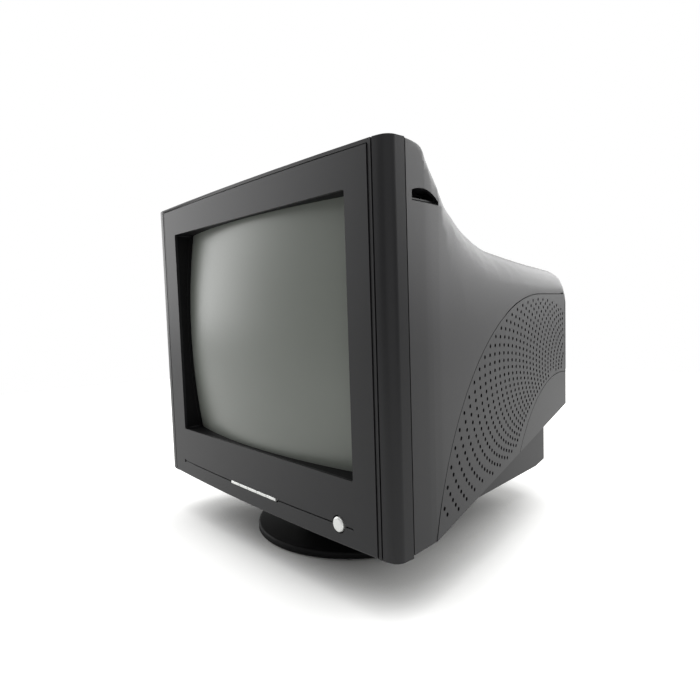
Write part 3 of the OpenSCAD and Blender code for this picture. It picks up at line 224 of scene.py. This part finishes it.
# shared by all finishes: octaves of the two noises, swing of the roughness and strength of the grain
grainRules = {"cloudDetail": 3.0, "speckDetail": 2.0, "roughSwing": 0.05, "strength": 0.6}


def newFinish(name):
    finish = bpy.data.materials.new(name)
    finish.use_nodes = True
    tree = finish.node_tree
    tree.nodes.clear()
    shader = addNode(tree, "ShaderNodeBsdfPrincipled")
    addNode(tree, "ShaderNodeOutputMaterial", {"Surface": shader.outputs[0]})
    where = addNode(tree, "ShaderNodeTexCoord").outputs["Object"]
    return finish, tree, shader, where


def mottledFinish(name, dark, pale, patch, grain, relief, rough, **sockets):
    # colour drifts over patches of a few millimetres, and a fine grain breaks up the gloss
    finish, tree, shader, where = newFinish(name)
    broad = {"Vector": where, "Scale": 1 / (patch * mm), "Detail": grainRules["cloudDetail"]}
    cloud = addNode(tree, "ShaderNodeTexNoise", broad)
    shades = {"Factor": cloud.outputs["Fac"], 6: linear(dark), 7: linear(pale)}
    tone = addNode(tree, "ShaderNodeMix", shades, data_type="RGBA")
    fine = {"Vector": where, "Scale": 1 / (grain * mm), "Detail": grainRules["speckDetail"]}
    speck = addNode(tree, "ShaderNodeTexNoise", fine)
    swing = grainRules["roughSwing"]
    span = {"Value": speck.outputs["Fac"], "To Min": rough - swing, "To Max": rough + swing}
    gloss = addNode(tree, "ShaderNodeMapRange", span)
    height = {"Height": speck.outputs["Fac"], "Distance": relief * mm, "Strength": grainRules["strength"]}
    bump = addNode(tree, "ShaderNodeBump", height)
    tree.links.new(tone.outputs[2], shader.inputs["Base Color"])
    tree.links.new(gloss.outputs[0], shader.inputs["Roughness"])
    tree.links.new(bump.outputs[0], shader.inputs["Normal"])
    for key, value in sockets.items():
        shader.inputs[key].default_value = value
    return finish


finishes = {
    # ABS moulded in a spark-eroded tool: dark charcoal, fine grain, soft gloss that pales at grazing angles
    "charcoal_plastic": mottledFinish(
        "sparkTexturedAbs", dark="#161618", pale="#1a1a1c",
        patch=40, grain=0.9, relief=0.05, rough=0.45, IOR=1.35,
    ),
    # the same resin in the grille plates, a shade lighter
    "grille_plastic": mottledFinish(
        "sparkTexturedAbsGrille", dark="#18181a", pale="#1c1c1e",
        patch=40, grain=0.9, relief=0.05, rough=0.45, IOR=1.35,
    ),
    # black ABS, left unpainted, of the stand and the window surround, duller; its near-black colour is darker
    # than the plastic's own black, as painted shade for the shadow on the stand's top under the cabinet and
    # on the window surround's lower lip
    "black_plastic": mottledFinish(
        # painted shade: these near-black colours stand in for the shadow these parts lie in
        "blackAbsWithPaintedShade", dark="#060607", pale="#09090a",
        patch=30, grain=0.8, relief=0.015, rough=0.6, IOR=1.25,
    ),
    # silver lacquer over plastic keys: pale, slightly metallic
    "silver_plastic": mottledFinish(
        "silverLacquer", dark="#e2e3e1", pale="#ebecea",
        patch=6, grain=0.5, relief=0.02, rough=0.34, Metallic=0.5,
    ),
    # grey phosphor behind tinted glass, under a smooth front that mirrors the room softly
    "screen_glass": mottledFinish(
        "tubeFace", dark="#7e827c", pale="#828680",
        patch=60, grain=3.0, relief=0.0, rough=0.36, IOR=1.36,
    ),
    # pressed lead glass of the funnel and neck, grey-green
    "tube_glass": mottledFinish(
        "funnelGlass", dark="#2c302f", pale="#343938",
        patch=30, grain=4.0, relief=0.02, rough=0.2,
    ),
    # zinc-plated steel: bright, with faint cloudy patches
    "steel": mottledFinish(
        "zincPlatedSteel", dark="#a7a9aa", pale="#b9babb",
        patch=5, grain=0.6, relief=0.02, rough=0.3, Metallic=1.0,
    ),
    # blackened steel sheet of the mask
    "mask_steel": mottledFinish(
        "blackenedSteel", dark="#2a2b2d", pale="#333437",
        patch=8, grain=0.8, relief=0.02, rough=0.5, Metallic=0.8,
    ),
    # enamelled copper wire: brown-red, glossy
    "copper": mottledFinish(
        "enamelledCopper", dark="#8a4a26", pale="#a55c30",
        patch=3, grain=0.5, relief=0.1, rough=0.35, Metallic=0.8,
    ),
    # cloth tape over a bundle of wire: brown, dull
    "taped_wire": mottledFinish(
        "tapedBundle", dark="#3a2a1e", pale="#46342a",
        patch=12, grain=1.2, relief=0.15, rough=0.6,
    ),
    # sintered ferrite: nearly black, dull
    "ferrite": mottledFinish(
        "ferrite", dark="#2b2928", pale="#343130",
        patch=5, grain=0.7, relief=0.05, rough=0.7,
    ),
    # moulded nylon, cream
    "cream_plastic": mottledFinish(
        "creamNylon", dark="#d6d2c4", pale="#dedbd0",
        patch=20, grain=0.8, relief=0.03, rough=0.5,
    ),
    # paper board under green solder resist
    "circuit_board": mottledFinish(
        "solderResist", dark="#39491f", pale="#435427",
        patch=10, grain=0.8, relief=0.03, rough=0.4,
    ),
    # rubber feet: black, dull
    "rubber_black": mottledFinish(
        "footRubber", dark="#161616", pale="#1d1d1d",
        patch=6, grain=0.6, relief=0.05, rough=0.8,
    ),
    # silicone rubber of the anode cap and lead: brick red
    "rubber_red": mottledFinish(
        "siliconeRubber", dark="#6d2a20", pale="#7a3327",
        patch=8, grain=0.8, relief=0.03, rough=0.55,
    ),
    # shrink sleeve over a capacitor can: dark blue, glossy
    "capacitor_sleeve": mottledFinish(
        "sleevedCan", dark="#1f2d47", pale="#263552",
        patch=10, grain=1.0, relief=0.02, rough=0.35,
    ),
    # extruded aluminium, as drawn
    "bare_aluminium": mottledFinish(
        "extrudedAluminium", dark="#b4b6b8", pale="#c2c4c6",
        patch=4, grain=0.5, relief=0.03, rough=0.4, Metallic=1.0,
    ),
    # lacquered steel core of the transformer
    "dark_metal": mottledFinish(
        "lacqueredSteel", dark="#4a453f", pale="#565049",
        patch=6, grain=0.7, relief=0.03, rough=0.45, Metallic=0.5,
    ),
    # plated brass contacts
    "contact_brass": mottledFinish(
        "platedBrass", dark="#bfa55c", pale="#ccb36c",
        patch=5, grain=0.5, relief=0.02, rough=0.3, Metallic=1.0,
    ),
}

for nodeName, node in frame["nodes"].items():
    node.data.materials.clear()
    node.data.materials.append(finishes[slotOf[nodeName]])
print("finishes on", len(slotOf), "nodes")


# how the copies are cleaned: lengths in millimetres, angles in degrees
meshRules = {
    "weld": 0.002,
    "flatAngle": 0.2,
    "flattenBelow": 6000,  # a copy with more faces than this is left as it came
    "edgeAngle": 28,  # edges sharper than this can be rounded
    "smoothAngle": 34,
    "cutWeld": 0.001,
}

# edges rounded on copies of the moulded pieces; boxes are in millimetres, with x taken from the middle line
moulded = {
    "front_bezel": {
        "piece": "frontFrame",
        "rounds": [
            {"width": 1.4, "segments": 4, "box": ((0, -146, 380), (214, -121, 400))},
            {"width": 0.5, "segments": 3, "box": ((190, -146, 70), (214, -121, 380))},
            {"width": 2.4, "segments": 4, "box": ((197.5, -146, 45), (214, -121, 60))},
        ],
    },
    "face_panel": {
        "piece": "facePanel",
        "rounds": [
            {"width": 2.2, "segments": 4, "box": ((0, -144.1, 45), (192, -143.9, 57))},
            {"width": 0.5, "segments": 3, "box": ((0, -144.1, 57), (192, -143.9, 400))},
        ],
    },
    "screen_mask": {"piece": "windowSurround", "rounds": []},
    "rear_cover": {"piece": "rearCover", "rounds": []},
    "bottom_cover": {"piece": "lowerHousing", "rounds": [
        {"width": 1.6, "segments": 3, "box": ((90, -100, 44), (220, 239, 130))},
    ]},
    "power_button": {"piece": "powerButton", "rounds": [
        {"width": 0.6, "segments": 3, "box": ((120, -147, 55), (160, -144.2, 90))},
    ]},
}
for number in range(1, 6):
    moulded[f"control_button_{number}"] = {
        "piece": f"key{number}",
        "rounds": [{"width": 0.45, "segments": 3, "box": ((0, -146, 60), (200, -144, 80))}],
    }


def flatten(shape):
    # faces that lie in one plane become one face
    bmesh.ops.dissolve_limit(shape, angle_limit=math.radians(meshRules["flatAngle"]), verts=shape.verts,
                             edges=shape.edges)


def mergedCopy(nodeName):
    shape = bmesh.new()
    shape.from_mesh(frame["nodes"][nodeName].data)
    bmesh.ops.remove_doubles(shape, verts=shape.verts, dist=meshRules["weld"] * mm)
    if len(shape.faces) < meshRules["flattenBelow"]:
        flatten(shape)
    return shape


def roundEdges(shape, width, segments, box):
    low, high = (Vector(corner) * mm for corner in box)
    picked = []
    for edge in shape.edges:
        if len(edge.link_faces) != 2 or edge.calc_face_angle() < math.radians(meshRules["edgeAngle"]):
            continue
        ends = [Vector((abs(v.co.x), v.co.y, v.co.z)) for v in edge.verts]
        if all(low[i] <= end[i] <= high[i] for end in ends for i in range(3)):
            picked.append(edge)
    if picked:
        bmesh.ops.bevel(shape, geom=picked, offset=width * mm, offset_type="OFFSET", segments=segments,
                        profile=0.5, affect="EDGES", clamp_overlap=True, material=-1)
    return len(picked)


def standIn(pieceName, shape, nodeName):
    mesh = bpy.data.meshes.new(pieceName)
    for face in shape.faces:
        face.smooth = True
    shape.to_mesh(mesh)
    shape.free()
    mesh.set_sharp_from_angle(angle=math.radians(meshRules["smoothAngle"]))
    mesh.materials.append(finishes[slotOf[nodeName]])
    piece = bpy.data.objects.new(pieceName, mesh)
    scene.collection.objects.link(piece)
    weigh = piece.modifiers.new("faceWeights", "WEIGHTED_NORMAL")
    weigh.keep_sharp = True
    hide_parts(nodeName)
    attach(piece, frame["nodes"][nodeName]["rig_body"])
    return piece


# where the side walls of the rear cover run over into its roof, in millimetres
# each row below gives a depth, counted from the front face, and the value there
crestBlend = {
    "frontFace": -144,
    "moulded": [(23, 1), (44.2, 2.5), (56.2, 6), (114.2, 36), (428, 25.2)],  # round crest along the depth
    "crown": [(44.2, 2), (99.2, 8), (428, 4)],  # rise of the roof along its middle line
    # the softened crest: how far it runs out on both sides, and how deep its middle lies in the corner
    "spread": [(23, 1), (40, 4), (46, 9), (56, 16), (75, 18), (86, 42), (97, 60), (125, 75), (190, 70),
               (300, 36), (428, 27)],
    "inset": [(23, 0.3), (40, 1), (46, 2.2), (56, 4.5), (75, 5.5), (86, 9.5), (97, 11.2), (125, 12),
              (190, 10.5), (300, 8.7), (428, 7.4)],
    # fuller foot of the slope, which fades out down the side wall between these shares of the spread
    "fill": [(54, 0), (60, 2), (74, 2), (84, 6.5), (95, 10.5), (110, 12.5), (150, 10), (200, 5), (260, 2),
             (310, 0)],
    "fillReach": (0.6, 1.15),
    "even": (-6, -3, 0, 3, 6),  # these values are averaged over this span of depth
    "touch": 0.9,  # what lies this close to the moulded crest is its outer face
    "skin": (6, 16),  # full effect to this depth under the skin, and none past the second
    "feelers": (28, 31.5, 36, 42, 50, 62, 80, 100),  # the side wall is looked for this far under the roof
    "lowest": 250,  # nothing under this height moves
    "frontKept": 2,  # nor does this much of the front rim
    "backKept": 0.1,  # nor of the back face
    "alike": 0.01,  # depths this close share one measurement
    "probeMargin": 1,  # the shape is measured at least this far inside its two ends
    "step": 7,  # spacing of the cuts that make the skin fine enough to bend
    "smoothFrom": 3,  # the skin is smoothed where the crest lies this far inside the corner
    "smoothing": 8,  # so many times, each by this share
    "smoothShare": 0.5,
    "cuts": {"x": (100, 16), "y": (-118, 36), "z": (270, 26)},
}


def between(rows, place):
    for (start, low), (end, high) in zip(rows, rows[1:]):
        if place <= end:
            share = min(max((place - start) / (end - start), 0), 1)
            return low + (high - low) * share
    return rows[-1][1]


def roundInset(radius, slide):
    # how far a round corner lies inside a sharp one, for a point at this slide along the corner
    if abs(slide) >= radius:
        return max(0, -slide)
    return radius - (slide + math.sqrt(2 * radius * radius - slide * slide)) / 2


def softInset(spread, inset, slide):
    # the same for a corner whose curve runs out slowly on both sides
    power = spread / (2 * inset)
    tail = max(1 - abs(slide) / spread, 0)
    return inset * tail**power + max(0, -slide)


def fade(bounds, place):
    low, high = bounds
    return min(max((high - place) / (high - low), 0), 1)


def cutFine(shape, settings):
    lowest = settings["cuts"]["z"][0] * mm
    foremost = settings["cuts"]["y"][0] * mm
    for axis, (start, count) in settings["cuts"].items():
        normal = Vector([float(axis == name) for name in "xyz"])
        places = [(start + i * settings["step"]) * mm for i in range(count)]
        if axis == "x":
            places += [-place for place in places]
        for place in places:
            faces = [f for f in shape.faces if any(v.co.z > lowest and v.co.y > foremost for v in f.verts)]
            edges = list(dict.fromkeys(edge for face in faces for edge in face.edges))
            verts = list(dict.fromkeys(vert for face in faces for vert in face.verts))
            bmesh.ops.bisect_plane(shape, geom=faces + edges + verts, dist=meshRules["cutWeld"] * mm,
                                   plane_co=normal * place, plane_no=normal)


def softenCrest(shape, settings):
    cutFine(shape, settings)
    tree = BVHTree.FromBMesh(shape)
    front = min(vert.co.y for vert in shape.verts)
    back = max(vert.co.y for vert in shape.verts)
    known = {}

    def measure(y):
        key = round(y / (settings["alike"] * mm))
        if key in known:
            return known[key]
        margin = settings["probeMargin"] * mm
        inside = min(max(y, front + margin), back - margin)
        roof = tree.ray_cast(Vector((0, inside, 1)), Vector((0, 0, -1)))[0].z
        hits = [tree.ray_cast(Vector((1, inside, roof - drop * mm)), Vector((-1, 0, 0)))[0]
                for drop in settings["feelers"]]
        wall = max(hit.x for hit in hits if hit)
        depth = y / mm - settings["frontFace"]
        eased = []
        for name in ("spread", "inset", "fill"):
            nearby = [between(settings[name], depth + away) for away in settings["even"]]
            eased.append(sum(nearby) / len(nearby))
        radius = between(settings["moulded"], depth)
        rise = between(settings["crown"], depth)
        known[key] = (wall / mm, roof / mm, radius, rise, *eased)
        return known[key]

    skin = []
    for vert in shape.verts:
        x, y, z = vert.co / mm
        inFront = y * mm < front + settings["frontKept"] * mm
        behind = y * mm > back - settings["backKept"] * mm
        if z < settings["lowest"] or inFront or behind:
            continue
        wall, top, radius, rise, spread, inset, fill = measure(y * mm)
        across = abs(x)
        flat = wall - radius
        crown = rise * (1 - (across / flat) ** 2) if across < flat else 0
        inward = wall - across
        below = top - rise + crown - z
        slide = below - inward
        sharper = roundInset(radius, slide)
        share = fade(settings["skin"], inward - sharper)
        onSkin = abs(inward - sharper) < settings["touch"] and abs(slide) < spread
        shift = (softInset(spread, inset, slide) - (inward if onSkin else sharper)) * share
        across -= shift
        newCrown = rise * (1 - min(across / wall, 1) ** 2) ** 2
        raised = (newCrown - crown + fill) * fade([part * spread for part in settings["fillReach"]], below)
        vert.co.x = math.copysign(across, x) * mm
        vert.co.z += (share * raised - shift) * mm
        if onSkin and inset > settings["smoothFrom"]:
            skin.append(vert)
    for again in range(settings["smoothing"]):
        bmesh.ops.smooth_vert(shape, verts=skin, factor=settings["smoothShare"], use_axis_x=True,
                              use_axis_y=True, use_axis_z=True)
    flatten(shape)


for nodeName, settings in moulded.items():
    shape = mergedCopy(nodeName)
    if nodeName == "rear_cover":
        softenCrest(shape, crestBlend)
    counts = [roundEdges(shape, **rule) for rule in settings["rounds"]]
    piece = standIn(settings["piece"], shape, nodeName)
    print(settings["piece"], "edges rounded:", counts, "faces:", len(piece.data.polygons))


# sloping lip inside each carrying grip, which catches the light below the dark finger room
gripLip = {
    "seam": (212, -123),  # side wall at the seam, in plan
    "taper": 7,
    "along": (10.2, 47.4),
    "foot": 348.4,
    "height": 3.0,
    "inner": 6.0,
    "outer": 0.2,
    "weld": 0.01,
}


def makeGripLip(side, name, settings):
    shape = bmesh.new()
    bmesh.ops.create_cube(shape, size=1.0)
    turn = math.radians(settings["taper"])
    seamX, seamY = settings["seam"]
    near, far = settings["along"]
    for vert in shape.verts:
        along = far if vert.co.y > 0 else near
        depth = settings["outer"] if vert.co.x > 0 else settings["inner"]
        risen = vert.co.z > 0 and vert.co.x < 0
        vert.co = mm * Vector((
            side * (seamX - along * math.sin(turn) - depth * math.cos(turn)),
            seamY + along * math.cos(turn) - depth * math.sin(turn),
            settings["foot"] + (settings["height"] if risen else 0),
        ))
    bmesh.ops.remove_doubles(shape, verts=shape.verts, dist=settings["weld"] * mm)
    bmesh.ops.recalc_face_normals(shape, faces=shape.faces)
    mesh = bpy.data.meshes.new(name)
    shape.to_mesh(mesh)
    shape.free()
    mesh.materials.append(finishes["charcoal_plastic"])
    lip = bpy.data.objects.new(name, mesh)
    scene.collection.objects.link(lip)
    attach(lip, "cabinet")


makeGripLip(1, "gripLipRight", gripLip)
makeGripLip(-1, "gripLipLeft", gripLip)
print("grip lips in place")
